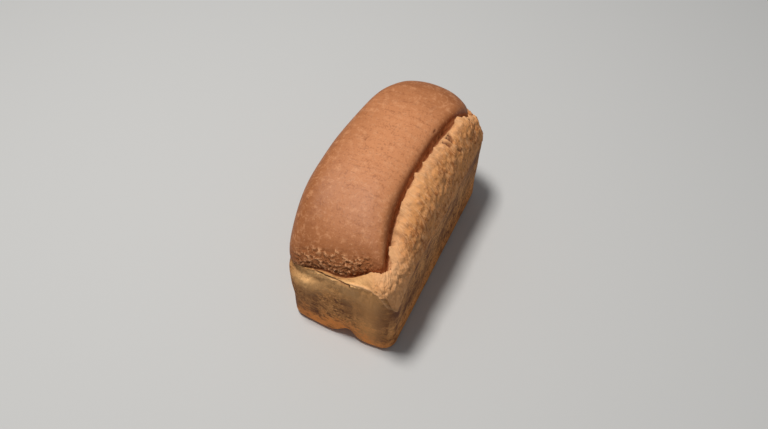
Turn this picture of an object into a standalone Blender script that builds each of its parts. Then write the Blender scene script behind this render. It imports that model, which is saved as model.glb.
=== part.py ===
"""A tin loaf with a shred torn open along one long side.

Metres, +Z up. X is the long axis, the torn side faces -Y, and the near end with the
ragged cap edge faces -X. The origin is under the middle of the loaf, on its flat base.

The body is one grid wrapped round the loaf. Every point of the grid has a direction,
which is where it stands round the loaf, and a level, which is where it stands on the
section: base, wall, bank of torn crumb, groove, cap. Each level is a closed curve.
"""

import math

import bmesh
import bpy
import numpy as np
from mathutils import Vector, noise

# Lower part, shaped by the tin
TIN_CENTRE_X = -0.0015
BASE_HALF_LENGTH = 0.1120
BASE_HALF_WIDTH = 0.0545
TIN_FLARE = 0.0015
END_BOW = 0.0035
NEAR_LEAN = 0.0062
NEAR_LEAN_CENTRE = 0.005
NEAR_LEAN_WIDTH = 0.042
NEAR_FACE = (-0.8, -1.0)
NEAR_BOW_RUN = (-0.5, -1.0)
DISH_RUN_END = (0.96, 0.3)
DISH_RUN_SIDE = (0.98, 0.6)
BASE_CORNER = 0.012
RIM_CORNER = 0.014
BASE_EDGE = 0.006
WALL_DISH = 0.0022

# Height of the widest line, where the dough rose out of the tin
RIM_NEAR_BACK = 0.0650
RIM_NEAR_MIDDLE = 0.0905
RIM_NEAR_TORN = 0.0955
RIM_CORNER_TORN = 0.0665
RIM_FRONT_NEAR = 0.0812
RIM_FRONT_FAR = 0.0862
RIM_FAR = 0.0910
RIM_BACK_NEAR = 0.0670
RIM_BACK = 0.0880
RIM_FAR_CORNER_DROP = 0.0160
RIM_FAR_CORNER_RUN = (0.60, 0.88)
RIM_NEAR_RISE = (0.85, -0.10)
RIM_NEAR_TORN_RISE = (-0.10, -0.70)
RIM_CORNER_RUN = (-0.86, -0.70)
RIM_CORNER_TURN = (0.84, 0.96)
RIM_BACK_RISE = (-1.0, -0.4)

# Crest of the bank between the tin's line and the cap
CREST_FRONT = 0.1315
CREST_FRONT_NEAR_DROP = 0.0242
CREST_FRONT_FAR_DROP = 0.0265
CREST_NEAR = 0.0920
CREST_NEAR_TORN_RISE = 0.0130
CREST_NEAR_BACK_DROP = 0.0165
CREST_FAR = 0.1060
CREST_BACK = 0.0960
CREST_BACK_NEAR_DROP = 0.0130
CREST_NEAR_DROP_RUN = (-0.10, -0.95)
CREST_FAR_DROP_RUN = (0.65, 1.00)
CREST_NEAR_BACK_RUN = (0.10, 0.95)
CREST_BACK_NEAR_RUN = (-0.45, -1.00)
CREST_TO_LIP_FRONT = 0.0062
CREST_TO_LIP_NEAR = 0.0035
CREST_TO_LIP_FAR = -0.0040
CREST_TO_LIP_FAR_TORN = 0.0010
CREST_TO_LIP_BACK = -0.0035
GROOVE_DEPTH_TORN = 0.0060
GROOVE_DEPTH_SHUT = 0.0015
GROOVE_SHARE = 0.45

# Where the sides blend into the ends, and where the tear fades out across each end
SIDE_PLAN_POWER = 6.0
SIDE_BLEND = (0.52, 0.94)
TORN_FADE_NEAR = (-0.85, -0.05)
TORN_FADE_FAR = (-0.92, -0.30)
ENDS_BLEND = (0.3, -0.3)

# How full the bank's section is: 1 is a straight slope and 2 a quarter of an ellipse
BANK_POWER = 1.7
BANK_POWER_FRONT = 2.2
BANK_POWER_FRONT_NEAR = 2.3
BANK_POWER_SHELF = 2.2
BANK_POWER_LEDGE = 1.5
BANK_POWER_RUN = (0.1, -0.6)

# Cap: how far its lip goes from its middle line to each side
CAP_MIDDLE = 0.0052
LIP_NEAR = 0.1068
LIP_NEAR_BACK_GAIN = 0.0020
LIP_NEAR_TORN_LOSS = 0.0093
LIP_FAR = 0.1267
LIP_BACK = 0.0624
LIP_BACK_NEAR_LOSS = 0.0050
LIP_FRONT = 0.0505
LIP_FRONT_BOW = 0.0244
LIP_BOW_POWER_NEAR = 3.3
LIP_BOW_POWER_FAR = 2.3
LIP_RISE = 0.0030
LIP_SINK_TORN = 0.0018
LIP_NEAR_TORN_RUN = (0.0, -0.9)
LIP_BACK_NEAR_RUN = (-0.3, -1.0)

# Cap: its height, how square its sections are and how far its corners stand out
CROWN_HEIGHT = 0.1426
CROWN_NEAR_DROP = 0.0181
CROWN_FAR_DROP = 0.0022
SIDE_FALL_TORN = 0.0070
SIDE_FALL_BACK = 0.0023
END_POWER_NEAR = 3.5
END_POWER_FAR = 5.5
SIDE_POWER_TORN = 14.1
SIDE_POWER_BACK = 8.3
CORNER_NEAR_TORN = 0.00
CORNER_NEAR_BACK = 0.02
CORNER_FAR_TORN = -0.13
CORNER_FAR_BACK = -0.31

# Hollow under the base edge of the near end
NOTCH_CENTRE = -0.008
NOTCH_HALF_WIDTH = 0.010
NOTCH_HEIGHT = 0.0080
NOTCH_FADE_HEIGHT = 0.032
NOTCH_INSET = 0.0035
NOTCH_REACH = 0.012

# Relief
CRUMB_SIZE = 0.0100
CRUMB_DEPTH = 0.0022
RAGGED_SIZE = 0.0075
RAGGED_DEPTH = 0.0024
SCALLOP_LENGTH = 0.0140
SCALLOP_DEPTH = 0.0032
SWELL_SIZE = 0.055
SWELL_DEPTH = 0.0012
RAGGED_TOP = 0.024
RAGGED_LOW = 0.018

# Grid
BANK_ROWS = 6
SHOULDER_ANGLES = (9, 18, 27, 36, 46)
RING_STEP = 0.030
INNER_CELLS = (30, 16)
WALL_ROWS = 8
EDGE_ROWS = 3
BASE_RINGS = 4
RINGS = BANK_ROWS + 2 + len(SHOULDER_ANGLES)
INNER_EDGE = 1.0 - RINGS * RING_STEP
HALVINGS = 40


def ease(low, high, value):
    """0 at low, 1 at high, with a smooth run between them."""
    share = np.clip((value - low) / (high - low), 0.0, 1.0)
    return share * share * (3.0 - 2.0 * share)


def mix(first, second, share):
    return first + (second - first) * share


def on_superellipse(along, across, power):
    """A point of the unit square's edge, pushed in onto a superellipse of this power."""
    size = (np.abs(along) ** power + np.abs(across) ** power) ** (1.0 / power)
    return along / size, across / size


def on_rounded_rectangle(along, across, half_length, half_width, corner):
    """The same for a rectangle with round corners."""
    x, y = along * half_length, across * half_width
    centre_x = np.sign(x) * (half_length - corner)
    centre_y = np.sign(y) * (half_width - corner)
    out_x, out_y = x - centre_x, y - centre_y
    reach = np.hypot(out_x, out_y) + 1e-12
    round_part = (np.abs(x) > half_length - corner) & (np.abs(y) > half_width - corner)
    x = np.where(round_part, centre_x + corner * out_x / reach, x)
    y = np.where(round_part, centre_y + corner * out_y / reach, y)
    return x, y


class Section:
    """The loaf's section at a set of directions, one value of each size a direction."""

    def __init__(self, along, across):
        self.along, self.across = along, across
        u, v = on_superellipse(along, across, SIDE_PLAN_POWER)
        front = ease(*SIDE_BLEND, -v)
        back = ease(*SIDE_BLEND, v)
        near = (1.0 - front - back) * ease(*ENDS_BLEND, u)
        far = 1.0 - front - back - near
        self.near_side = near
        torn_near = 1.0 - ease(*TORN_FADE_NEAR, v)
        torn_far = 1.0 - ease(*TORN_FADE_FAR, v)
        self.torn = np.where(u < 0, torn_near, torn_far)

        def by_side(at_front, at_back, at_near, at_far):
            return front * at_front + back * at_back + near * at_near + far * at_far

        rim_near = mix(RIM_NEAR_BACK, RIM_NEAR_MIDDLE, ease(*RIM_NEAR_RISE, v))
        rim_near = mix(rim_near, RIM_NEAR_TORN, ease(*RIM_NEAR_TORN_RISE, v))
        rim_front = mix(RIM_FRONT_NEAR, RIM_FRONT_FAR, ease(-1.0, 1.0, u))
        rim_front = mix(RIM_CORNER_TORN, rim_front, ease(*RIM_CORNER_RUN, u))
        rim_back = mix(RIM_BACK_NEAR, RIM_BACK, ease(*RIM_BACK_RISE, u))
        torn_corner = mix(rim_front, rim_near, ease(*RIM_CORNER_TURN, -u))
        rim = by_side(rim_front, rim_back, rim_near, RIM_FAR)
        rim = rim - RIM_FAR_CORNER_DROP * ease(*RIM_FAR_CORNER_RUN, np.minimum(u, v))
        self.rim = np.where((u < 0) & (v < 0), torn_corner, rim)
        crest_front = CREST_FRONT - CREST_FRONT_NEAR_DROP * ease(*CREST_NEAR_DROP_RUN, u)
        crest_front = crest_front - CREST_FRONT_FAR_DROP * ease(*CREST_FAR_DROP_RUN, u)
        crest_near = CREST_NEAR + CREST_NEAR_TORN_RISE * torn_near
        crest_near = crest_near - CREST_NEAR_BACK_DROP * ease(*CREST_NEAR_BACK_RUN, v)
        crest_back = CREST_BACK - CREST_BACK_NEAR_DROP * ease(*CREST_BACK_NEAR_RUN, u)
        self.crest = by_side(crest_front, crest_back, crest_near, CREST_FAR)
        out_far = mix(CREST_TO_LIP_FAR, CREST_TO_LIP_FAR_TORN, torn_far)
        self.crest_to_lip = by_side(
            CREST_TO_LIP_FRONT, CREST_TO_LIP_BACK, CREST_TO_LIP_NEAR, out_far
        )
        power_front = mix(BANK_POWER_FRONT, BANK_POWER_FRONT_NEAR, ease(*BANK_POWER_RUN, u))
        power_near = mix(BANK_POWER_LEDGE, BANK_POWER_SHELF, torn_near)
        self.bank_power = by_side(power_front, BANK_POWER, power_near, BANK_POWER)
        self.groove_depth = mix(GROOVE_DEPTH_SHUT, GROOVE_DEPTH_TORN, self.torn)
        self.lip = self.crest + mix(LIP_RISE, -LIP_SINK_TORN, self.torn)
        self.end_power = np.where(along < 0, END_POWER_NEAR, END_POWER_FAR)
        self.side_power = np.where(across < 0, SIDE_POWER_TORN, SIDE_POWER_BACK)
        self.forward, self.aside = self.lip_shares()

    def tin_plan(self, flare, corner):
        """A level of the tin's part, as x and y."""
        half_length, half_width = BASE_HALF_LENGTH + flare, BASE_HALF_WIDTH + flare
        x, y = on_rounded_rectangle(self.along, self.across, half_length, half_width, corner)
        bow = END_BOW * (1.0 - (y / half_width) ** 2) * ease(*NEAR_BOW_RUN, x / half_length)
        return x - bow + TIN_CENTRE_X, y

    def base_edge(self, share):
        """The round edge between base and wall."""
        angle = share * np.pi / 2.0
        inset = BASE_EDGE * (1.0 - np.sin(angle))
        x, y = self.tin_plan(-inset, BASE_CORNER - inset)
        return x, y, BASE_EDGE * (1.0 - np.cos(angle))

    def wall(self, share):
        """Up the wall from the base edge to the rim, dished between its corners."""
        corner = mix(BASE_CORNER, RIM_CORNER, share)
        x, y = self.tin_plan(TIN_FLARE * share, corner)
        dish = WALL_DISH * np.sin(np.pi * share)
        x = x - np.sign(self.along) * dish * ease(*DISH_RUN_END, np.abs(self.across))
        y = y - np.sign(self.across) * dish * ease(*DISH_RUN_SIDE, np.abs(self.along))
        lean = np.exp(-(((y - NEAR_LEAN_CENTRE) / NEAR_LEAN_WIDTH) ** 2))
        x = x + NEAR_LEAN * share**3 * lean * ease(*NEAR_FACE, x / BASE_HALF_LENGTH)
        return x, y, mix(BASE_EDGE, self.rim, share)

    def lip_shares(self):
        """How far the lip is forward and aside, as shares of its way to each end and side."""
        low, high = np.zeros_like(self.along), np.ones_like(self.along)
        for _ in range(HALVINGS):
            middle = (low + high) / 2.0
            inside = self.fall(middle * self.along, middle * self.across) < 1.0
            low, high = np.where(inside, middle, low), np.where(inside, high, middle)
        return low * self.along, low * self.across

    def fall(self, forward, aside):
        """Runs from 0 at the crown to 1 at the lip."""
        return np.abs(forward) ** self.end_power + np.abs(aside) ** self.side_power

    def cap_plan(self, forward, aside):
        """Where two shares of the way to the lip stand, as x and y."""
        near = LIP_NEAR + LIP_NEAR_BACK_GAIN * ease(0.0, 1.0, aside)
        near = near - LIP_NEAR_TORN_LOSS * ease(*LIP_NEAR_TORN_RUN, aside)
        length = np.where(forward < 0, near, LIP_FAR)
        bow_power = np.where(forward < 0, LIP_BOW_POWER_NEAR, LIP_BOW_POWER_FAR)
        front = LIP_FRONT - LIP_FRONT_BOW * (1.0 - np.abs(forward) ** bow_power)
        back = LIP_BACK - LIP_BACK_NEAR_LOSS * ease(*LIP_BACK_NEAR_RUN, forward)
        width = np.where(aside < 0, front, back)
        near_corner = np.where(aside < 0, CORNER_NEAR_TORN, CORNER_NEAR_BACK)
        far_corner = np.where(aside < 0, CORNER_FAR_TORN, CORNER_FAR_BACK)
        corner = np.where(forward < 0, near_corner, far_corner)
        stretch = 1.0 + corner * (forward * aside) ** 2
        return stretch * length * forward, CAP_MIDDLE + stretch * width * aside

    def lip_plan(self, out):
        """A curve this far outside the cap's lip."""
        forward, aside = self.forward, self.aside
        x, y = self.cap_plan(forward, aside)
        along = np.sign(forward) * self.end_power * np.abs(forward) ** (self.end_power - 1.0)
        across = np.sign(aside) * self.side_power * np.abs(aside) ** (self.side_power - 1.0)
        normal_x, normal_y = along / LIP_NEAR, across / LIP_FRONT
        size = np.hypot(normal_x, normal_y)
        return x + out * normal_x / size, y + out * normal_y / size

    def bank(self, share):
        """From the rim up to the crest of the torn bank, or of the small ledge elsewhere."""
        angle = share * np.pi / 2.0
        rim_x, rim_y, _ = self.wall(1.0)
        crest_x, crest_y = self.lip_plan(self.crest_to_lip)
        inward = 1.0 - np.cos(angle) ** (2.0 / self.bank_power)
        height = np.sin(angle) ** (2.0 / self.bank_power)
        return (
            mix(rim_x, crest_x, inward),
            mix(rim_y, crest_y, inward),
            mix(self.rim, self.crest, height),
        )

    def groove(self):
        x, y = self.lip_plan(GROOVE_SHARE * self.crest_to_lip)
        return x, y, np.minimum(self.crest, self.lip) - self.groove_depth

    def cap(self, turn, inwards):
        """The cap: up its shoulder by an angle from the lip, then this share inwards."""
        sideways = np.abs(self.aside) ** self.side_power
        power = mix(self.end_power, self.side_power, sideways)
        out = np.cos(turn) ** (2.0 / power) * inwards
        forward, aside = out * self.forward, out * self.aside
        x, y = self.cap_plan(forward, aside)
        drop = np.where(x < 0, CROWN_NEAR_DROP, CROWN_FAR_DROP)
        side_fall = np.where(aside < 0, SIDE_FALL_TORN, SIDE_FALL_BACK)
        crown = CROWN_HEIGHT - drop * (x / LIP_NEAR) ** 2 - side_fall * aside**2
        height = np.sqrt(np.clip(1.0 - self.fall(forward, aside), 0.0, 1.0))
        return x, y, mix(self.lip, crown, height)


def grid_lines(inner_cells):
    """The grid's lines across one face of the cube, from -1 to 1."""
    outer = [1.0 - RING_STEP * ring for ring in range(RINGS)]
    inner = [INNER_EDGE * (1.0 - 2.0 * cell / inner_cells) for cell in range(inner_cells + 1)]
    return sorted([-line for line in outer] + inner + outer)


def edge_axis(edge):
    """The axis that an edge of the cube runs along."""
    run = edge.verts[1].co - edge.verts[0].co
    return max(range(3), key=lambda axis: abs(run[axis]))


def reach_of(face):
    """How far out from the middle of the cube's top or base a face of the grid goes."""
    return max(abs(vert.co[axis]) for vert in face.verts for axis in (0, 1))


def wrapped_cube():
    """A cube of side 2 cut into the grid, with the middle of its base left as one face."""
    rows = WALL_ROWS + EDGE_ROWS
    across_up = [2.0 * row / rows - 1.0 for row in range(rows + 1)]
    lines = (grid_lines(INNER_CELLS[0]), grid_lines(INNER_CELLS[1]), across_up)
    mesh = bmesh.new()
    bmesh.ops.create_cube(mesh, size=2.0)
    for axis in range(3):
        runs = [edge for edge in mesh.edges if edge_axis(edge) == axis]
        cuts = len(lines[axis]) - 2
        bmesh.ops.subdivide_edges(mesh, edges=runs, cuts=cuts, use_grid_fill=True)
    for vert in mesh.verts:
        for axis in range(3):
            cell = round((vert.co[axis] + 1.0) / 2.0 * (len(lines[axis]) - 1))
            vert.co[axis] = lines[axis][cell]
    mesh.normal_update()
    flat_reach = 1.0 - (BASE_RINGS - 0.25) * RING_STEP
    flat = [face for face in mesh.faces if face.normal.z < -0.5 and reach_of(face) < flat_reach]
    bmesh.ops.dissolve_faces(mesh, faces=flat, use_verts=True)
    return mesh


class Placed:
    """The grid's points on the loaf, with each one's share of torn crumb and ragged edge."""

    def __init__(self, points):
        reach = np.maximum(np.abs(points[:, 0]), np.abs(points[:, 1]))
        safe = np.maximum(reach, 1e-9)
        centre = reach < 1e-9
        along = np.where(centre, 1.0, points[:, 0] / safe)
        section = Section(along, points[:, 1] / safe)
        row = np.round((points[:, 2] + 1.0) / 2.0 * (WALL_ROWS + EDGE_ROWS))
        ring = np.round((1.0 - reach) / RING_STEP, 3)
        side = reach > 1.0 - 1e-5
        on_top = (points[:, 2] > 1.0 - 1e-5) & ~side
        on_base = (points[:, 2] < -1.0 + 1e-5) & ~side
        self.places = np.zeros_like(points)

        def put(chosen, level):
            self.places[chosen] = np.stack(level, axis=1)[chosen]

        put(side, section.wall(np.clip((row - EDGE_ROWS) / WALL_ROWS, 0.0, 1.0)))
        put(side & (row < EDGE_ROWS), section.base_edge(np.clip(row / EDGE_ROWS, 0.0, 1.0)))
        base_x, base_y, base_z = section.base_edge(np.zeros_like(reach))
        put(on_base, (base_x * reach, base_y * reach, base_z))
        put(on_top, section.bank(np.clip(ring / BANK_ROWS, 0.0, 1.0)))
        put(on_top & (ring > BANK_ROWS + 0.5), section.groove())
        angles = (0.0,) + tuple(math.radians(angle) for angle in SHOULDER_ANGLES)
        turn = np.interp(ring - BANK_ROWS - 2.0, range(len(angles)), angles)
        inwards = np.where(ring < RINGS, 1.0, reach / INNER_EDGE)
        put(on_top & (ring > BANK_ROWS + 1.5), section.cap(turn, inwards))

        self.torn = np.where(on_top & (ring < BANK_ROWS + 0.5), section.torn, 0.0)
        ragged = section.near_side * ease(RAGGED_TOP, RAGGED_LOW, self.places[:, 2] - section.lip)
        self.ragged = np.where(on_top & (ring > BANK_ROWS + 1.5), ragged, 0.0)
        self.crest = np.where(np.abs(ring - BANK_ROWS) < 1.5, section.torn, 0.0) * on_top


def notch_move(place):
    """The hollow under the near end's base edge, as a move of the points round it."""
    across = math.exp(-(((place.y - NOTCH_CENTRE) / NOTCH_HALF_WIDTH) ** 2))
    inwards = float(ease(-BASE_HALF_LENGTH + NOTCH_REACH, -BASE_HALF_LENGTH, place.x))
    upwards = float(ease(NOTCH_FADE_HEIGHT, 0.0, place.z))
    return Vector((NOTCH_INSET, 0.0, NOTCH_HEIGHT)) * across * inwards * upwards


def relief(place, torn, ragged, crest):
    """How far a point stands out of the plain form."""
    swell = SWELL_DEPTH * noise.noise(place / SWELL_SIZE)
    crumb = CRUMB_DEPTH * torn * noise.fractal(place / CRUMB_SIZE, 0.9, 2.1, 2)
    crags = RAGGED_DEPTH * ragged * noise.fractal(place / RAGGED_SIZE, 0.8, 2.0, 2)
    scallop = SCALLOP_DEPTH * crest * noise.noise(Vector((place.x / SCALLOP_LENGTH, 3.0, 7.0)))
    return swell * float(ease(0.0, 0.03, place.z)) + crumb + crags + scallop


def centre_on_base(mesh):
    """Brings the middle of the loaf's outer box over the origin."""
    low = [min(vert.co[axis] for vert in mesh.verts) for axis in range(3)]
    high = [max(vert.co[axis] for vert in mesh.verts) for axis in range(3)]
    middle = Vector(((low[0] + high[0]) / 2.0, (low[1] + high[1]) / 2.0, low[2]))
    bmesh.ops.translate(mesh, verts=mesh.verts, vec=-middle)


def loaf_mesh():
    mesh = wrapped_cube()
    mesh.verts.ensure_lookup_table()
    placed = Placed(np.array([tuple(vert.co) for vert in mesh.verts]))
    for vert, place in zip(mesh.verts, placed.places):
        vert.co = place
    mesh.normal_update()
    shares = zip(mesh.verts, placed.torn, placed.ragged, placed.crest)
    moves = [vert.normal * relief(vert.co, *share) for vert, *share in shares]
    for vert, move in zip(mesh.verts, moves):
        vert.co += move
        vert.co += notch_move(vert.co)
    bmesh.ops.recalc_face_normals(mesh, faces=mesh.faces)
    centre_on_base(mesh)
    return mesh


def baked_crust():
    material = bpy.data.materials.new("baked_crust")
    material.use_nodes = True
    shader = material.node_tree.nodes["Principled BSDF"]
    shader.inputs["Base Color"].default_value = (0.45, 0.20, 0.075, 1.0)
    shader.inputs["Roughness"].default_value = 0.55
    shader.inputs["Metallic"].default_value = 0.0
    return material


def main():
    for old in list(bpy.data.objects):
        bpy.data.objects.remove(old, do_unlink=True)
    collection = bpy.data.collections.new("tin_loaf")
    bpy.context.scene.collection.children.link(collection)
    data = bpy.data.meshes.new("loaf")
    mesh = loaf_mesh()
    mesh.to_mesh(data)
    mesh.free()
    data.shade_smooth()
    data.materials.append(baked_crust())
    collection.objects.link(bpy.data.objects.new("loaf", data))


main()
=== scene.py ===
"""Tin loaf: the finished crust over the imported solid.

Metres, +Z up. X is the long axis, the torn side faces -Y, and the near end with the ragged
cap edge faces -X. The loaf stands on its flat base, with the origin under its middle.

The crust is one grid wrapped round the loaf. Every point has a direction, which is where it
stands round the loaf, and a level, which is where it stands on the section: base, wall, bank
of torn crumb, groove, cap. The levels give the form, and relief gives crumb, flakes and cracks.
"""

import logging
import math
from collections.abc import Mapping
from dataclasses import dataclass
from enum import Enum
from typing import Any

import bmesh
import bpy
import numpy as np
from mathutils import Matrix, Vector, noise

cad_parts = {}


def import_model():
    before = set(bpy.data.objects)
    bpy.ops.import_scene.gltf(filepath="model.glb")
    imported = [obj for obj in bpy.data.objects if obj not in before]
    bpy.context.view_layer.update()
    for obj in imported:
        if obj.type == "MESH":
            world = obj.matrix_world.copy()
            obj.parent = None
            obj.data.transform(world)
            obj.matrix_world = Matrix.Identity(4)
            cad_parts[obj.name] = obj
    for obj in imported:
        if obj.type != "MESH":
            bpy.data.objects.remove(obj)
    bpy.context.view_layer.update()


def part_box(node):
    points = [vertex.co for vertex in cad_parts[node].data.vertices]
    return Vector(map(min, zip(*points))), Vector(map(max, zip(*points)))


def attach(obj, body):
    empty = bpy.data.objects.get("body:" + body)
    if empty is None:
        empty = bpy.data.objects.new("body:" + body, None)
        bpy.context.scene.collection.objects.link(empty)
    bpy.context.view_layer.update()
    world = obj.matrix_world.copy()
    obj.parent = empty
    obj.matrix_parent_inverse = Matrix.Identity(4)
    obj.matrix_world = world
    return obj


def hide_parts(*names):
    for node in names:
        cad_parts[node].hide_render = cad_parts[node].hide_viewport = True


LOG = logging.getLogger("tin_loaf")

Values = np.ndarray
Level = tuple[Values, Values, Values]
Span = tuple[float, float]
Point = tuple[float, float, float]
Colour = tuple[float, float, float, float]


def ease(low: float, high: float, value: Any) -> Any:
    """Runs smoothly from 0 at low to 1 at high.

    Args:
        low: Where the run starts.
        high: Where it ends, which may be below low.
        value: A number or an array.

    Returns:
        The share, in the form that value has.
    """
    share = np.clip((value - low) / (high - low), 0.0, 1.0)
    return share * share * (3.0 - 2.0 * share)


def mix(first: Any, second: Any, share: Any) -> Any:
    """Goes from first to second as share goes from 0 to 1."""
    return first + (second - first) * share


def bell(value: Any, centre: float, width: float) -> Any:
    """A smooth hump of height 1 round centre."""
    return np.exp(-(((value - centre) / width) ** 2))


def tone(red: float, green: float, blue: float) -> Colour:
    """Turns a colour as a screen shows it, from 0 to 255, into the linear one of a shader."""
    return tuple((part / 255.0) ** 2.2 for part in (red, green, blue)) + (1.0,)


class Around:
    """Directions round the loaf, one for each point, and how they blend its four sides.

    Args:
        along: Place on the edge of a square from -1 to 1, along X.
        across: The same along Y.
    """

    plan_power = 6.0
    side_blend = (0.52, 0.94)
    end_blend = (0.3, -0.3)
    torn_fade_near = (-0.85, -0.05)
    torn_fade_far = (-0.92, -0.30)

    def __init__(self, along: Values, across: Values) -> None:
        self.along, self.across = along, across
        power = self.plan_power
        size = (np.abs(along) ** power + np.abs(across) ** power) ** (1.0 / power)
        self.u, self.v = along / size, across / size
        self.front = ease(*self.side_blend, -self.v)
        self.back = ease(*self.side_blend, self.v)
        ends = 1.0 - self.front - self.back
        self.near = ends * ease(*self.end_blend, self.u)
        self.far = ends - self.near
        self.torn_near = 1.0 - ease(*self.torn_fade_near, self.v)
        self.torn_far = 1.0 - ease(*self.torn_fade_far, self.v)
        self.torn = np.where(self.u < 0.0, self.torn_near, self.torn_far)

    def by_side(self, front: Any, back: Any, near: Any, far: Any) -> Values:
        """Blends one value for each side of the loaf."""
        return self.front * front + self.back * back + self.near * near + self.far * far

    def run(self, half_length: float, half_width: float) -> Values:
        """The way round the loaf in metres, with 0 in the middle of the torn side.

        Args:
            half_length: Half the length of the tin's part.
            half_width: Half its width.

        Returns:
            The way to each direction.
        """
        front = self.along * half_length
        side = half_length + (self.across + 1.0) * half_width
        back = half_length + 2.0 * half_width + (1.0 - np.abs(self.along)) * half_length
        away = np.where(self.across > 0.9999, back, side)
        return np.where(self.across < -0.9999, front, np.sign(self.along) * away)


@dataclass(frozen=True)
class TinWalls:
    """The lower part, which the tin shaped, from the flat base up to the rim."""

    centre_x: float = -0.0015
    half_length: float = 0.1120
    half_width: float = 0.0545
    flare: float = 0.0015
    end_bow: float = 0.0035
    near_lean: float = 0.0062
    near_lean_centre: float = 0.005
    near_lean_width: float = 0.042
    near_lean_run: Span = (-0.8, -1.0)
    near_bow_run: Span = (-0.5, -1.0)
    base_corner: float = 0.012
    rim_corner: float = 0.014
    base_edge: float = 0.006
    dish: float = 0.0022
    dish_run_end: Span = (0.96, 0.3)
    dish_run_side: Span = (0.98, 0.6)
    rim_near_back: float = 0.065
    rim_near_top: float = 0.0905
    rim_near_torn: float = 0.0955
    rim_corner_torn: float = 0.0665
    rim_front_near: float = 0.0812
    rim_front_far: float = 0.0862
    rim_far: float = 0.091
    rim_back_near: float = 0.067
    rim_back: float = 0.088
    rim_far_corner_drop: float = 0.016
    rim_far_corner_run: Span = (0.60, 0.88)
    rim_near_rise: Span = (0.85, -0.1)
    rim_near_torn_rise: Span = (-0.1, -0.7)
    rim_corner_run: Span = (-0.86, -0.70)
    rim_corner_turn: Span = (0.84, 0.96)
    rim_back_rise: Span = (-1.0, -0.4)

    def plan(self, around: Around, flare: Any, corner: Any) -> tuple[Values, Values]:
        """A level as x and y: a rectangle with round corners and a bowed near end.

        Args:
            around: The directions.
            flare: How far out of the base's size the level is.
            corner: Radius of its corners.

        Returns:
            The x and y of each direction.
        """
        half_length, half_width = self.half_length + flare, self.half_width + flare
        x, y = around.along * half_length, around.across * half_width
        centre_x = np.sign(x) * (half_length - corner)
        centre_y = np.sign(y) * (half_width - corner)
        reach = np.hypot(x - centre_x, y - centre_y) + 1e-12
        turned = (np.abs(x) > half_length - corner) & (np.abs(y) > half_width - corner)
        x, y = (
            np.where(turned, centre_x + corner * (x - centre_x) / reach, x),
            np.where(turned, centre_y + corner * (y - centre_y) / reach, y),
        )
        bow = self.end_bow * (1.0 - (y / half_width) ** 2) * ease(*self.near_bow_run, x / half_length)
        return x - bow + self.centre_x, y

    def edge(self, around: Around, share: Values) -> Level:
        """The round edge between the base, where share is 0, and the wall.

        Args:
            around: The directions.
            share: How far up the edge, for each.

        Returns:
            The places.
        """
        angle = share * np.pi / 2.0
        inset = self.base_edge * (1.0 - np.sin(angle))
        x, y = self.plan(around, -inset, self.base_corner - inset)
        return x, y, self.base_edge * (1.0 - np.cos(angle))

    def rim(self, around: Around) -> Values:
        """Height of the widest line, where the dough rose out of the tin.

        Args:
            around: The directions.

        Returns:
            The height in each.
        """
        u, v = around.u, around.v
        near = mix(self.rim_near_back, self.rim_near_top, ease(*self.rim_near_rise, v))
        near = mix(near, self.rim_near_torn, ease(*self.rim_near_torn_rise, v))
        front = mix(self.rim_front_near, self.rim_front_far, ease(-1.0, 1.0, u))
        front = mix(self.rim_corner_torn, front, ease(*self.rim_corner_run, u))
        back = mix(self.rim_back_near, self.rim_back, ease(*self.rim_back_rise, u))
        level = around.by_side(front, back, near, self.rim_far)
        level = level - self.rim_far_corner_drop * ease(*self.rim_far_corner_run, np.minimum(u, v))
        turned = mix(front, near, ease(*self.rim_corner_turn, -u))
        return np.where((u < 0.0) & (v < 0.0), turned, level)

    def wall(self, around: Around, share: Any) -> Level:
        """Up the wall from the base edge, where share is 0, to the rim.

        Args:
            around: The directions.
            share: How far up the wall, for each or for all.

        Returns:
            The places.
        """
        corner = mix(self.base_corner, self.rim_corner, share)
        x, y = self.plan(around, self.flare * share, corner)
        dish = self.dish * np.sin(np.pi * share)
        x = x - np.sign(around.along) * dish * ease(*self.dish_run_end, np.abs(around.across))
        y = y - np.sign(around.across) * dish * ease(*self.dish_run_side, np.abs(around.along))
        lean = bell(y, self.near_lean_centre, self.near_lean_width)
        lean = lean * ease(*self.near_lean_run, x / self.half_length)
        x = x + self.near_lean * share**3 * lean
        return x, y, mix(self.base_edge, self.rim(around), share)


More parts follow.
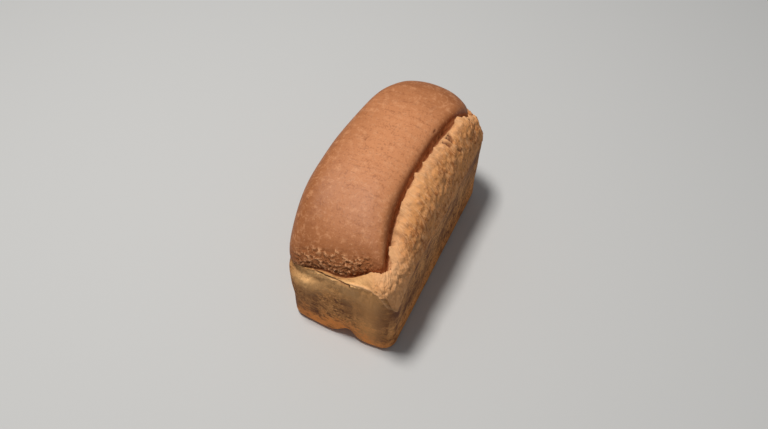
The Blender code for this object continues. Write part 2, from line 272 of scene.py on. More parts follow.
@dataclass(frozen=True)
class DomedCap:
    """The smooth brown top, which stands clear of the torn bank along a groove.

    A point of the cap is given by two shares, forward and aside, of the way from the middle
    line to the lip. The dome is a superellipsoid in them, so it is smooth all over.
    """

    middle: float = 0.0052
    lip_near: float = 0.1068
    lip_near_back_gain: float = 0.0020
    lip_near_back_run: Span = (0.0, 1.0)
    lip_near_torn_loss: float = 0.0093
    lip_near_torn_run: Span = (0.0, -0.9)
    lip_far: float = 0.1267
    lip_back: float = 0.0624
    lip_back_near_loss: float = 0.0050
    lip_back_near_run: Span = (-0.3, -1.0)
    lip_front: float = 0.0505
    lip_front_bow: float = 0.0244
    bow_power_near: float = 3.3
    bow_power_far: float = 2.3
    lip_rise: float = 0.0030
    lip_sink_torn: float = 0.0018
    crown_height: float = 0.1426
    crown_near_drop: float = 0.0181
    crown_far_drop: float = 0.0022
    side_fall_torn: float = 0.0070
    side_fall_back: float = 0.0023
    end_power_near: float = 3.5
    end_power_far: float = 5.5
    side_power_torn: float = 14.1
    side_power_back: float = 8.3
    corner_near_torn: float = 0.00
    corner_near_back: float = 0.02
    corner_far_torn: float = -0.13
    corner_far_back: float = -0.31
    halvings: int = 40

    def side_power(self, aside: Values) -> Values:
        """How square the dome's section is on each side."""
        return np.where(aside < 0.0, self.side_power_torn, self.side_power_back)

    def end_power(self, forward: Values) -> Values:
        """How square its long section is towards each end."""
        return np.where(forward < 0.0, self.end_power_near, self.end_power_far)

    def lip_shares(self, around: Around) -> tuple[Values, Values]:
        """The two shares of the lip in each direction.

        Args:
            around: The directions.

        Returns:
            Forward and aside.
        """
        along, across = np.abs(around.along), np.abs(around.across)
        power, end_power = self.side_power(around.across), self.end_power(around.along)
        low, high = np.zeros_like(along), np.ones_like(along)
        for _ in range(self.halvings):
            middle = (low + high) / 2.0
            inside = (middle * along) ** end_power + (middle * across) ** power < 1.0
            low, high = np.where(inside, middle, low), np.where(inside, high, middle)
        return low * around.along, low * around.across

    def plan(self, forward: Values, aside: Values) -> tuple[Values, Values]:
        """Where two shares stand, as x and y.

        Args:
            forward: Share of the way to the lip along X.
            aside: The same along Y.

        Returns:
            The x and y of each.
        """
        near = self.lip_near + self.lip_near_back_gain * ease(*self.lip_near_back_run, aside)
        near = near - self.lip_near_torn_loss * ease(*self.lip_near_torn_run, aside)
        length = np.where(forward < 0.0, near, self.lip_far)
        bow = np.where(forward < 0.0, self.bow_power_near, self.bow_power_far)
        front = self.lip_front - self.lip_front_bow * (1.0 - np.abs(forward) ** bow)
        back = self.lip_back - self.lip_back_near_loss * ease(*self.lip_back_near_run, forward)
        width = np.where(aside < 0.0, front, back)
        at_near = np.where(aside < 0.0, self.corner_near_torn, self.corner_near_back)
        at_far = np.where(aside < 0.0, self.corner_far_torn, self.corner_far_back)
        stretch = 1.0 + np.where(forward < 0.0, at_near, at_far) * (forward * aside) ** 2
        return stretch * length * forward, self.middle + stretch * width * aside

    def lip_plan(self, around: Around, out: Any) -> tuple[Values, Values]:
        """The lip as x and y, or a curve this far outside it.

        Args:
            around: The directions.
            out: How far outside the lip.

        Returns:
            The x and y of each direction.
        """
        forward, aside = self.lip_shares(around)
        x, y = self.plan(forward, aside)
        power, end_power = self.side_power(aside), self.end_power(forward)
        normal_x = np.sign(forward) * end_power * np.abs(forward) ** (end_power - 1.0)
        normal_y = np.sign(aside) * power * np.abs(aside) ** (power - 1.0)
        normal_x, normal_y = normal_x / self.lip_near, normal_y / self.lip_front
        size = np.hypot(normal_x, normal_y)
        return x + out * normal_x / size, y + out * normal_y / size

    def rise(self, forward: Values, aside: Values) -> Values:
        """Share of the height from lip to crown."""
        fall = np.abs(forward) ** self.end_power(forward) + np.abs(aside) ** self.side_power(aside)
        return np.sqrt(np.clip(1.0 - fall, 0.0, 1.0))

    def dome(
        self, around: Around, lip: Values, turn: Values, inwards: Values
    ) -> tuple[Level, Values, Values]:
        """The dome from its lip to its crown.

        Args:
            around: The directions.
            lip: Height of the lip in each.
            turn: Angle up the shoulder, from 0 at the lip.
            inwards: What is left of the way from the shoulder to the crown, from 1 to 0.

        Returns:
            The places, their shares of the height, and how far out they stand, up to 1.
        """
        forward, aside = self.lip_shares(around)
        sideways = np.abs(aside) ** self.side_power(aside)
        power = mix(self.end_power(forward), self.side_power(aside), sideways)
        out = np.cos(turn) ** (2.0 / power) * inwards
        rise = self.rise(out * forward, out * aside)
        x, y = self.plan(out * forward, out * aside)
        drop = np.where(x < 0.0, self.crown_near_drop, self.crown_far_drop)
        crown = self.crown_height - drop * (x / self.lip_near) ** 2
        fall = np.where(aside < 0.0, self.side_fall_torn, self.side_fall_back)
        crown = crown - fall * (out * aside) ** 2
        return (x, y, mix(lip, crown, rise)), rise, out * np.maximum(np.abs(forward), np.abs(aside))


@dataclass(frozen=True)
class TornBank:
    """The bank of torn crumb between the rim and the groove, and the small ledge elsewhere."""

    crest_front: float = 0.1315
    crest_front_near_drop: float = 0.0242
    crest_front_near_run: Span = (-0.1, -0.95)
    crest_front_far_drop: float = 0.0265
    crest_front_far_run: Span = (0.65, 1.0)
    crest_near: float = 0.092
    crest_near_torn_rise: float = 0.013
    crest_near_back_drop: float = 0.0165
    crest_near_back_run: Span = (0.1, 0.95)
    crest_far: float = 0.1060
    crest_back: float = 0.096
    crest_back_near_drop: float = 0.013
    crest_back_near_run: Span = (-0.45, -1.0)
    to_lip_front: float = 0.0062
    to_lip_near: float = 0.0035
    to_lip_far: float = -0.0040
    to_lip_far_torn: float = 0.0010
    to_lip_back: float = -0.0035
    groove_torn: float = 0.0060
    groove_shut: float = 0.0015
    groove_power: float = 0.7
    power: float = 1.7
    power_front: float = 2.2
    power_front_near: float = 2.3
    power_front_run: Span = (0.1, -0.6)
    power_shelf: float = 2.2
    power_ledge: float = 1.5

    def crest(self, around: Around) -> Values:
        """Height of the crest.

        Args:
            around: The directions.

        Returns:
            The height in each.
        """
        front = self.crest_front - self.crest_front_near_drop * ease(*self.crest_front_near_run, around.u)
        front = front - self.crest_front_far_drop * ease(*self.crest_front_far_run, around.u)
        near = self.crest_near + self.crest_near_torn_rise * around.torn_near
        near = near - self.crest_near_back_drop * ease(*self.crest_near_back_run, around.v)
        back = self.crest_back - self.crest_back_near_drop * ease(*self.crest_back_near_run, around.u)
        return around.by_side(front, back, near, self.crest_far)

    def to_lip(self, around: Around) -> Values:
        """How far the crest stands outside the cap's lip."""
        far = mix(self.to_lip_far, self.to_lip_far_torn, around.torn_far)
        return around.by_side(self.to_lip_front, self.to_lip_back, self.to_lip_near, far)

    def lip(self, around: Around, cap: DomedCap) -> Values:
        """Height of the cap's lip."""
        return self.crest(around) + mix(cap.lip_rise, -cap.lip_sink_torn, around.torn)

    def slope(self, around: Around, share: Values, walls: TinWalls, cap: DomedCap) -> Level:
        """Up the bank from the rim, where share is 0, to the crest.

        Args:
            around: The directions.
            share: How far up, for each.
            walls: The tin's part under the bank.
            cap: The cap behind it.

        Returns:
            The places.
        """
        front = mix(self.power_front, self.power_front_near, ease(*self.power_front_run, around.u))
        near = mix(self.power_ledge, self.power_shelf, around.torn_near)
        power = around.by_side(front, self.power, near, self.power)
        angle = share * np.pi / 2.0
        inward = 1.0 - np.cos(angle) ** (2.0 / power)
        height = np.sin(angle) ** (2.0 / power)
        rim_x, rim_y, rim_z = walls.wall(around, 1.0)
        crest_x, crest_y = cap.lip_plan(around, self.to_lip(around))
        return (
            mix(rim_x, crest_x, inward),
            mix(rim_y, crest_y, inward),
            mix(rim_z, self.crest(around), height),
        )

    def groove(self, around: Around, share: Values, cap: DomedCap) -> Level:
        """Across the groove from the crest, where share is 0, to the cap's lip.

        Args:
            around: The directions.
            share: How far across, for each.
            cap: The cap behind it.

        Returns:
            The places.
        """
        x, y = cap.lip_plan(around, mix(self.to_lip(around), 0.0, share))
        depth = mix(self.groove_shut, self.groove_torn, around.torn)
        level = mix(self.crest(around), self.lip(around, cap), share)
        return x, y, level - depth * np.sin(np.pi * share) ** self.groove_power


@dataclass(frozen=True)
class WrapGrid:
    """How finely the crust is cut."""

    edge_rows: int = 5
    wall_rows: int = 30
    bank_rows: int = 34
    groove_rows: int = 4
    shoulder_rows: int = 36
    shoulder_turn: float = math.radians(46.0)
    base_rings: int = 4
    inner_edge: float = 0.58
    inner_along: int = 110
    inner_across: int = 80

    @property
    def rings(self) -> int:
        """Rings from the rim in to the grid's inner part."""
        return self.bank_rows + self.groove_rows + self.shoulder_rows

    @property
    def step(self) -> float:
        """Share of the way in that a ring takes."""
        return (1.0 - self.inner_edge) / self.rings

    def lines(self, inner_cells: int) -> list[float]:
        """The grid's lines across one face of the cube, from -1 to 1.

        Args:
            inner_cells: How many cells the inner part has.

        Returns:
            The lines in order.
        """
        outer = [1.0 - self.step * ring for ring in range(self.rings)]
        cell = 2.0 / inner_cells
        inner = [self.inner_edge * (1.0 - cell * count) for count in range(inner_cells + 1)]
        return sorted([-line for line in outer] + inner + outer)

    def cube(self) -> bmesh.types.BMesh:
        """A cube of side 2 cut into the grid, with the middle of its base left as one face.

        Returns:
            The cube.
        """
        rows = self.edge_rows + self.wall_rows
        up = [2.0 * row / rows - 1.0 for row in range(rows + 1)]
        lines = (self.lines(self.inner_along), self.lines(self.inner_across), up)
        mesh = bmesh.new()
        bmesh.ops.create_cube(mesh, size=2.0)
        for axis in range(3):
            runs = [edge for edge in mesh.edges if self._axis(edge) == axis]
            cuts = len(lines[axis]) - 2
            bmesh.ops.subdivide_edges(mesh, edges=runs, cuts=cuts, use_grid_fill=True)
        for vert in mesh.verts:
            for axis in range(3):
                cell = round((vert.co[axis] + 1.0) / 2.0 * (len(lines[axis]) - 1))
                vert.co[axis] = lines[axis][cell]
        mesh.normal_update()
        reach = 1.0 - (self.base_rings - 0.25) * self.step
        flat = [face for face in mesh.faces if face.normal.z < -0.5 and self._reach(face) < reach]
        bmesh.ops.dissolve_faces(mesh, faces=flat, use_verts=True)
        return mesh

    @staticmethod
    def _axis(edge: bmesh.types.BMEdge) -> int:
        """The axis that an edge of the cube runs along."""
        run = edge.verts[1].co - edge.verts[0].co
        return max(range(3), key=lambda axis: abs(run[axis]))

    @staticmethod
    def _reach(face: bmesh.types.BMFace) -> float:
        """How far out from the middle of the cube's base a face goes."""
        return max(abs(vert.co[axis]) for vert in face.verts for axis in (0, 1))


class Mark(Enum):
    """What a stroke on the crust is."""

    CRACK = "crack"
    CREASE = "crease"
    SEAM = "seam"
    PIT = "pit"


@dataclass(frozen=True)
class Stroke:
    """A short line sunk into the crust, or raised where its depth is below 0."""

    mark: Mark
    path: tuple[Point, ...]
    width: float
    depth: float

    def share(self, place: Vector) -> float:
        """How much of the stroke is at a place, from 0 to 1.

        Args:
            place: A place in the frame.

        Returns:
            The share.
        """
        ends = [Vector(point) for point in self.path]
        nearest = min(self._gap(place, *pair) for pair in zip(ends, ends[1:]))
        return float(ease(1.0, 0.0, nearest / self.width))

    @staticmethod
    def _gap(place: Vector, start: Vector, end: Vector) -> float:
        """Distance from a place to the line between two points.

        Args:
            place: The place.
            start: One end of the line.
            end: The other.

        Returns:
            The distance.
        """
        run = end - start
        share = min(max((place - start).dot(run) / run.length_squared, 0.0), 1.0)
        return (place - start - run * share).length


@dataclass(frozen=True)
class Lump:
    """A soft bulge of torn crumb, pushed out of the form."""

    centre: Point
    size: Point
    push: Point

    def move(self, place: Vector) -> Vector:
        """How far the bulge moves a place."""
        gaps = [(place[axis] - self.centre[axis]) / self.size[axis] for axis in range(3)]
        return Vector(self.push) * math.exp(-sum(gap * gap for gap in gaps))


# Sunk strokes are painted dark in the finish as painted shade.
STROKES = (
    Stroke(
        Mark.SEAM,
        (
            (-0.1150, 0.0215, 0.0890),
            (-0.1161, 0.0131, 0.0897),
            (-0.1164, 0.0024, 0.0904),
            (-0.1169, -0.0060, 0.0909),
            (-0.1178, -0.0173, 0.0913),
        ),
        width=0.0016,
        depth=0.0012,
    ),
    # The crease's ridge is painted pale in the finish as a painted highlight.
    Stroke(
        Mark.CREASE,
        (
            (-0.1166, -0.0190, 0.0934),
            (-0.1181, -0.0310, 0.0960),
            (-0.1194, -0.0474, 0.0980),
            (-0.1191, -0.0512, 0.0914),
            (-0.1177, -0.0545, 0.0833),
            (-0.1098, -0.0607, 0.0688),
        ),
        width=0.0016,
        depth=-0.0010,
    ),
    Stroke(
        Mark.CRACK,
        ((0.0960, -0.0430, 0.1210), (0.0825, -0.0474, 0.1261), (0.0748, -0.0515, 0.1254)),
        width=0.0022,
        depth=0.0026,
    ),
    Stroke(
        Mark.CRACK,
        ((0.0480, -0.0360, 0.1314), (0.0471, -0.0408, 0.1308), (0.0468, -0.0445, 0.1293)),
        width=0.0024,
        depth=0.0034,
    ),
    Stroke(
        Mark.CRACK,
        ((0.0412, -0.0355, 0.1314), (0.0407, -0.0418, 0.1303), (0.0406, -0.0450, 0.1288)),
        width=0.0022,
        depth=0.0030,
    ),
    Stroke(Mark.CRACK, ((0.0533, -0.0362, 0.1314), (0.0495, -0.0412, 0.1308)), width=0.0022, depth=0.0030),
    Stroke(Mark.CRACK, ((0.0452, -0.0520, 0.1227), (0.0471, -0.0545, 0.1189)), width=0.0018, depth=0.0016),
    Stroke(Mark.PIT, ((0.0450, -0.0262, 0.1354), (0.0462, -0.0262, 0.1354)), width=0.0018, depth=0.0010),
    Stroke(Mark.PIT, ((0.0018, 0.0260, 0.1426), (0.0030, 0.0260, 0.1426)), width=0.0014, depth=0.0004),
    Stroke(Mark.PIT, ((-0.0700, 0.0470, 0.1274), (-0.0740, 0.0478, 0.1250)), width=0.0009, depth=0.0006),
    Stroke(Mark.PIT, ((-0.0855, 0.0474, 0.1176), (-0.0885, 0.0478, 0.1150)), width=0.0009, depth=0.0006),
)

LUMPS = (
    Lump(centre=(-0.1085, -0.0350, 0.1010), size=(0.0100, 0.0130, 0.0120), push=(0.0030, 0.0, 0.0056)),
    Lump(centre=(0.0710, -0.0440, 0.1290), size=(0.0110, 0.0090, 0.0100), push=(0.0, -0.0010, 0.0022)),
    Lump(centre=(-0.1180, 0.0300, 0.0780), size=(0.0150, 0.0220, 0.0090), push=(0.0058, 0.0, -0.0010)),
)


@dataclass
class Skin:
    """What is known of each point of the grid once it stands on the loaf."""

    places: Values
    level: Values
    run: Values
    torn: Values
    near: Values
    out: Values
    crest: Values


@dataclass(frozen=True)
class Relief:
    """Everything that stands out of the plain form or is sunk into it."""

    swell_size: float = 0.055
    swell_depth: float = 0.0012
    swell_rise: float = 0.03
    crumb_size: float = 0.0120
    crumb_depth: float = 0.0014
    lump_size: float = 0.0038
    lump_depth: float = 0.0011
    fibre_width: float = 0.0018
    fibre_length: float = 0.0120
    fibre_depth: float = 0.0007
    scallop_length: float = 0.0140
    scallop_depth: float = 0.0066
    lobe_length: float = 0.0068
    lobe_depth: float = 0.0036
    flake_size: float = 0.0024
    flake_depth: float = 0.0006
    crag_size: float = 0.0016
    crag_depth: float = 0.0006
    ledge_size: float = 0.0050
    ledge_depth: float = 0.0011
    ragged_top: float = 0.56
    ragged_blend: float = 0.10
    ragged_run: Span = (2.35, 2.75)
    dent_size: float = 0.014
    dent_depth: float = 0.0004
    dent_rise: float = 0.01
    notch_centre: float = -0.008
    notch_half_width: float = 0.010
    notch_height: float = 0.0080
    notch_fade_height: float = 0.032
    notch_inset: float = 0.0035
    notch_reach: float = 0.012

    def flakes(self, place: Vector) -> float:
        """Height of the small tilted flakes of the ragged edge, from about -1 to 1.

        Args:
            place: A place on the plain form.

        Returns:
            The height.
        """
        spot = place / self.flake_size
        _, centres = noise.voronoi(spot)
        tilt = noise.cell_vector(centres[0] * 3.1)
        level = noise.cell(centres[0] * 5.3 + Vector((7.0, 1.0, 4.0)))
        return (level - 0.5) * 1.4 + (spot - centres[0]).dot(tilt) * 1.1

    def ragged_share(self, place: Vector, level: float, near: float) -> float:
        """How ragged the cap is at a place, with an uneven upper limit.

        Args:
            place: A place on the plain form.
            level: Where the place stands on the section.
            near: How much of the near end is at a point.

        Returns:
            The share, from 0 to 1.
        """
        wander = 0.07 * noise.noise(place / 0.011) + 0.05 * noise.noise(place / 0.004)
        low = 0.06 * float(ease(0.02, 0.045, abs(place.y)))
        top = self.ragged_top - low + wander
        over = float(ease(*self.ragged_run, level))
        return near * over * float(ease(top, top - self.ragged_blend, level - 3.0))

    def notch(self, place: Vector, half_length: float) -> Vector:
        """The hollow under the near end's base edge, as a move.

        Args:
            place: A place on the plain form.
            half_length: Half the length of the tin's part.

        Returns:
            The move.
        """
        across = math.exp(-(((place.y - self.notch_centre) / self.notch_half_width) ** 2))
        inwards = float(ease(-half_length + self.notch_reach, -half_length, place.x))
        upwards = float(ease(self.notch_fade_height, 0.0, place.z))
        return Vector((self.notch_inset, 0.0, self.notch_height)) * across * inwards * upwards


class Loaf:
    """The whole loaf as one crust.

    Args:
        box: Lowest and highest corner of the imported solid.
    """

    centring = Vector((-0.004853, -0.005421, 0.0))
    keep_margin = 0.9995
    longest_stroke = 0.1

    def __init__(self, box: tuple[Vector, Vector]) -> None:
        self.box = box
        self.walls = TinWalls()
        self.cap = DomedCap()
        self.bank = TornBank()
        self.grid = WrapGrid()
        self.relief = Relief()

    def wrap(self, points: Values) -> Skin:
        """Puts the grid's points on the loaf's plain form.

        Args:
            points: The cube's points.

        Returns:
            Their places and what is known of them.
        """
        grid = self.grid
        reach = np.maximum(np.abs(points[:, 0]), np.abs(points[:, 1]))
        safe = np.maximum(reach, 1e-9)
        along = np.where(reach < 1e-9, 1.0, points[:, 0] / safe)
        around = Around(along, points[:, 1] / safe)
        row = np.round((points[:, 2] + 1.0) / 2.0 * (grid.wall_rows + grid.edge_rows))
        ring = np.round((1.0 - reach) / grid.step, 3)
        side = reach > 1.0 - 1e-5
        on_top = (points[:, 2] > 1.0 - 1e-5) & ~side
        on_base = (points[:, 2] < -1.0 + 1e-5) & ~side
        places = np.zeros_like(points)
        level = np.zeros_like(reach)

        def put(chosen: Values, spots: Level, levels: Values) -> None:
            places[chosen] = np.stack(spots, axis=1)[chosen]
            level[chosen] = levels[chosen]

        up = np.clip((row - grid.edge_rows) / grid.wall_rows, 0.0, 1.0)
        put(side, self.walls.wall(around, up), up)
        low = np.clip(row / grid.edge_rows, 0.0, 1.0)
        put(side & (row < grid.edge_rows), self.walls.edge(around, low), np.zeros_like(up))
        base_x, base_y, base_z = self.walls.edge(around, np.zeros_like(reach))
        put(on_base, (base_x * reach, base_y * reach, base_z), np.zeros_like(up))
        up = np.clip(ring / grid.bank_rows, 0.0, 1.0)
        put(on_top, self.bank.slope(around, up, self.walls, self.cap), 1.0 + up)
        over = np.clip((ring - grid.bank_rows) / grid.groove_rows, 0.0, 1.0)
        groove = self.bank.groove(around, over, self.cap)
        put(on_top & (ring > grid.bank_rows + 0.5), groove, 2.0 + over)
        turn = (ring - grid.bank_rows - grid.groove_rows) / grid.shoulder_rows
        turn = np.clip(turn, 0.0, 1.0) * grid.shoulder_turn
        inwards = np.where(ring < grid.rings, 1.0, reach / grid.inner_edge)
        dome, rise, out = self.cap.dome(around, self.bank.lip(around, self.cap), turn, inwards)
        on_cap = on_top & (ring > grid.bank_rows + grid.groove_rows - 0.5)
        put(on_cap, dome, 3.0 + rise)
        torn = np.where((level > 1.0) & (level < 3.0), around.torn, 0.0)
        crest = np.where((level > 1.0) & (level < 3.0), bell(level, 2.0, 0.16), 0.0)
        return Skin(
            places=places,
            level=level,
            run=around.run(self.walls.half_length, self.walls.half_width),
            torn=torn * ease(0.98, 1.06, level),
            near=around.near,
            out=out,
            crest=crest * around.torn,
        )

    def build(self) -> bpy.types.Object:
        """Makes the crust's mesh, with what the finish reads of it as attributes.

        Returns:
            The crust, in place.
        """
        mesh = self.grid.cube()
        mesh.verts.ensure_lookup_table()
        skin = self.wrap(np.array([tuple(vert.co) for vert in mesh.verts]))
        for vert, place in zip(mesh.verts, skin.places):
            vert.co = place
        mesh.normal_update()
        # The crack note carries painted shade for cracks, pits and the seam; the pale note carries a
        # painted highlight along the crease.
        notes = {name: np.zeros(len(mesh.verts)) for name in ("ragged", "depth", "crack", "pale")}
        moves = [self._move(index, vert, skin, notes) for index, vert in enumerate(mesh.verts)]
        for vert, move in zip(mesh.verts, moves):
            vert.co += move
            vert.co += self.relief.notch(vert.co, self.walls.half_length)
        bmesh.ops.recalc_face_normals(mesh, faces=mesh.faces)
        bmesh.ops.translate(mesh, verts=mesh.verts, vec=self.centring)
        self._keep_inside(mesh)
        data = bpy.data.meshes.new("loaf_crust")
        mesh.to_mesh(data)
        mesh.free()
        data.shade_smooth()
        notes.update(level=skin.level, torn=skin.torn, near=skin.near, run=skin.run, out=skin.out)
        for name, values in notes.items():
            note = data.attributes.new(name, "FLOAT", "POINT")
            note.data.foreach_set("value", values.astype(np.float32))
        crust = bpy.data.objects.new("loaf_crust", data)
        bpy.context.scene.collection.objects.link(crust)
        return crust

    def _move(self, index: int, vert: bmesh.types.BMVert, skin: Skin, notes: dict[str, Values]) -> Vector:
        """How far a point stands out of the plain form.

        Args:
            index: Number of the point.
            vert: The point.
            skin: What is known of the grid's points.
            notes: What the finish reads, which this fills in.

        Returns:
            The move.
        """
        relief, place, normal = self.relief, vert.co, vert.normal
        known = (skin.level, skin.torn, skin.near, skin.crest, skin.run)
        level, torn, near, crest, run = (float(values[index]) for values in known)
        height = relief.swell_depth * noise.noise(place / relief.swell_size)
        height *= float(ease(0.0, relief.swell_rise, place.z))
        move = Vector((0.0, 0.0, 0.0))
        if torn > 0.0:
            fine = noise.fractal(place / relief.lump_size, 0.9, 2.1, 3)
            fibre = noise.noise(Vector((run / relief.fibre_width, place.z / relief.fibre_length, 2.0)))
            height += relief.crumb_depth * torn * noise.fractal(place / relief.crumb_size, 0.9, 2.1, 2)
            height += torn * (relief.lump_depth * fine + relief.fibre_depth * fibre)
            notes["depth"][index] = fine
        if crest > 0.01:
            lobe = noise.noise(Vector((run / relief.lobe_length, 5.0, 1.0)))
            scallop = noise.noise(Vector((place.x / relief.scallop_length, 3.0, 7.0)))
            inwards = relief.scallop_depth * scallop + relief.lobe_depth * lobe
            move += crest * inwards * Vector((0.0, 0.8, 0.5))
        if level > 2.4 and near > 0.0:
            ragged = relief.ragged_share(place, level, near)
            if ragged > 0.0:
                flakes = relief.flakes(place)
                crags = noise.fractal(place / relief.crag_size, 0.8, 2.0, 3)
                height += ragged * (relief.flake_depth * flakes + relief.crag_depth * crags)
                notes["depth"][index] = 0.7 * flakes + 0.5 * crags
            notes["ragged"][index] = ragged
        if near > 0.0 and 0.5 < level < 2.6:
            grainy = near * (1.0 - torn) * float(ease(0.5, 1.0, level))
            height += relief.ledge_depth * grainy * noise.fractal(place / relief.ledge_size, 0.8, 2.1, 3)
        if level < 1.2:
            dent = relief.dent_depth * noise.noise(place / relief.dent_size)
            height += dent * float(ease(0.0, relief.dent_rise, place.z))
        spot = place + self.centring
        if 0.5 < level < 2.9:
            for lump in LUMPS:
                move += lump.move(spot)
        for stroke in STROKES:
            if (spot - Vector(stroke.path[0])).length > self.longest_stroke:
                continue
            share = stroke.share(spot)
            if share > 0.0:
                height -= stroke.depth * share
                # Cracks, pits and the seam go into the crack note, which the finish paints dark as painted
                # shade.
                key = "pale" if stroke.mark is Mark.CREASE else "crack"
                notes[key][index] = max(notes[key][index], share)
        return move + normal * height

    def _keep_inside(self, mesh: bmesh.types.BMesh) -> None:
        """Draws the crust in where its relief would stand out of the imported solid's box.

        Args:
            mesh: The crust.
        """
        for axis in range(3):
            values = [vert.co[axis] for vert in mesh.verts]
            ends = ((self.box[0][axis], min(values)), (self.box[1][axis], max(values)))
            size = min(1.0, *(limit / end for limit, end in ends if abs(end) > 1e-6))
            if size < 1.0:
                LOG.info("axis %d drawn in to %.4f", axis, size)
                scale = [1.0, 1.0, 1.0]
                scale[axis] = size * self.keep_margin
                bmesh.ops.scale(mesh, vec=scale, verts=mesh.verts)


class Reading:
    """A socket of a material that takes part in arithmetic.

    Args:
        paint: The material's painter.
        socket: The socket that gives the value.
    """

    def __init__(self, paint: "Paint", socket: bpy.types.NodeSocket) -> None:
        self.paint, self.socket = paint, socket

    def __add__(self, other: Any) -> "Reading":
        return self.paint.maths("ADD", self, other)

    def __sub__(self, other: Any) -> "Reading":
        return self.paint.maths("SUBTRACT", self, other)

    def __rsub__(self, other: Any) -> "Reading":
        return self.paint.maths("SUBTRACT", other, self)

    def __mul__(self, other: Any) -> "Reading":
        return self.paint.maths("MULTIPLY", self, other)

    def __truediv__(self, other: Any) -> "Reading":
        return self.paint.maths("DIVIDE", self, other)

    __radd__ = __add__
    __rmul__ = __mul__


class Paint:
    """Builds one material's nodes.

    Args:
        name: The material's name.
    """

    def __init__(self, name: str) -> None:
        self.material = bpy.data.materials.new(name)
        self.material.use_nodes = True
        self.tree = self.material.node_tree
        self.shader = self.tree.nodes["Principled BSDF"]
        self.place = self.node("ShaderNodeTexCoord").outputs["Object"]

    def node(
        self,
        kind: str,
        settings: Mapping[str, Any] | None = None,
        sockets: Mapping[str | int, Any] | None = None,
    ) -> bpy.types.Node:
        """Adds a node.

        Args:
            kind: The node's type.
            settings: Its settings, which are set first.
            sockets: Values or links for its inputs, by name or number.

        Returns:
            The node.
        """
        made = self.tree.nodes.new(kind)
        for name, value in (settings or {}).items():
            setattr(made, name, value)
        for name, value in (sockets or {}).items():
            self.feed(made.inputs[name], value)
        return made

    def feed(self, target: bpy.types.NodeSocket, value: Any) -> None:
        """Links a socket, or sets it where the value is plain.

        Args:
            target: The input.
            value: A reading, a socket or a plain value.
        """
        if isinstance(value, Reading):
            value = value.socket
        if isinstance(value, bpy.types.NodeSocket):
            self.tree.links.new(value, target)
        else:
            target.default_value = value

    def maths(self, operation: str, *terms: Any, clamp: bool = False) -> Reading:
        """One Math node.

        Args:
            operation: What it does.
            terms: Its inputs.
            clamp: Whether it stays from 0 to 1.

        Returns:
            Its result.
        """
        settings = {"operation": operation, "use_clamp": clamp}
        made = self.node("ShaderNodeMath", settings, dict(enumerate(terms)))
        return Reading(self, made.outputs[0])

    def clamp(self, value: Reading) -> Reading:
        """Keeps a value between 0 and 1."""
        return self.maths("ADD", value, 0.0, clamp=True)

    def smooth(self, value: Any, low: float, high: float) -> Reading:
        """Runs smoothly from 0 at low to 1 at high.

        Args:
            value: What is read.
            low: Where the run starts.
            high: Where it ends, which may be below low.

        Returns:
            The share.
        """
        settings = {"interpolation_type": "SMOOTHSTEP"}
        if low <= high:
            sockets = {"Value": value, "From Min": low, "From Max": high}
            return Reading(self, self.node("ShaderNodeMapRange", settings, sockets).outputs["Result"])
        return 1.0 - self.smooth(value, high, low)

    def note(self, name: str) -> Reading:
        """Reads a value that the mesh carries for each point."""
        made = self.node("ShaderNodeAttribute", {"attribute_name": name})
        return Reading(self, made.outputs["Fac"])

    def stretched(self, vector: Any, sizes: Point) -> bpy.types.NodeSocket:
        """Divides a vector by sizes in metres.

        Args:
            vector: The vector's socket.
            sizes: One size for each axis.

        Returns:
            The result's socket.
        """
        scale = tuple(1.0 / size for size in sizes)
        made = self.node("ShaderNodeVectorMath", {"operation": "MULTIPLY"}, {0: vector, 1: scale})
        return made.outputs[0]

    def grain(
        self, sizes: Point | float, detail: float = 3.0, rough: float = 0.55, vector: Any = None
    ) -> Reading:
        """Noise with features of this size in metres, from 0 to 1.

        Args:
            sizes: One size for all axes or one for each.
            detail: How many finer layers it has.
            rough: How strong they are.
            vector: Where it is read, or None for the crust's own place.

        Returns:
            The noise.
        """
        sizes = (sizes, sizes, sizes) if isinstance(sizes, float) else sizes
        vector = self.stretched(self.place if vector is None else vector, sizes)
        sockets = {"Vector": vector, "Scale": 1.0, "Detail": detail, "Roughness": rough}
        return Reading(self, self.node("ShaderNodeTexNoise", None, sockets).outputs["Fac"])

    def cells(self, size: float) -> Reading:
        """Distance to the nearest of scattered points, this far apart in metres."""
        sockets = {"Vector": self.stretched(self.place, (size, size, size)), "Scale": 1.0}
        return Reading(self, self.node("ShaderNodeTexVoronoi", None, sockets).outputs["Distance"])

    def blend(self, first: Any, second: Any, share: Any) -> bpy.types.NodeSocket:
        """Goes from one colour to another as share goes from 0 to 1.

        Args:
            first: The colour at 0.
            second: The colour at 1.
            share: The share.

        Returns:
            The colour's socket.
        """
        settings = {"data_type": "RGBA", "clamp_factor": True}
        made = self.node("ShaderNodeMix", settings, {0: share, 6: first, 7: second})
        return made.outputs[2]

    def layers(self, ground: Any, *coats: tuple[Any, Any]) -> bpy.types.NodeSocket:
        """Lays coats over a ground, each a colour and the share of it that shows.

        Args:
            ground: The first colour.
            coats: The coats in order.

        Returns:
            The colour's socket.
        """
        for colour, share in coats:
            ground = self.blend(ground, colour, share)
        return ground


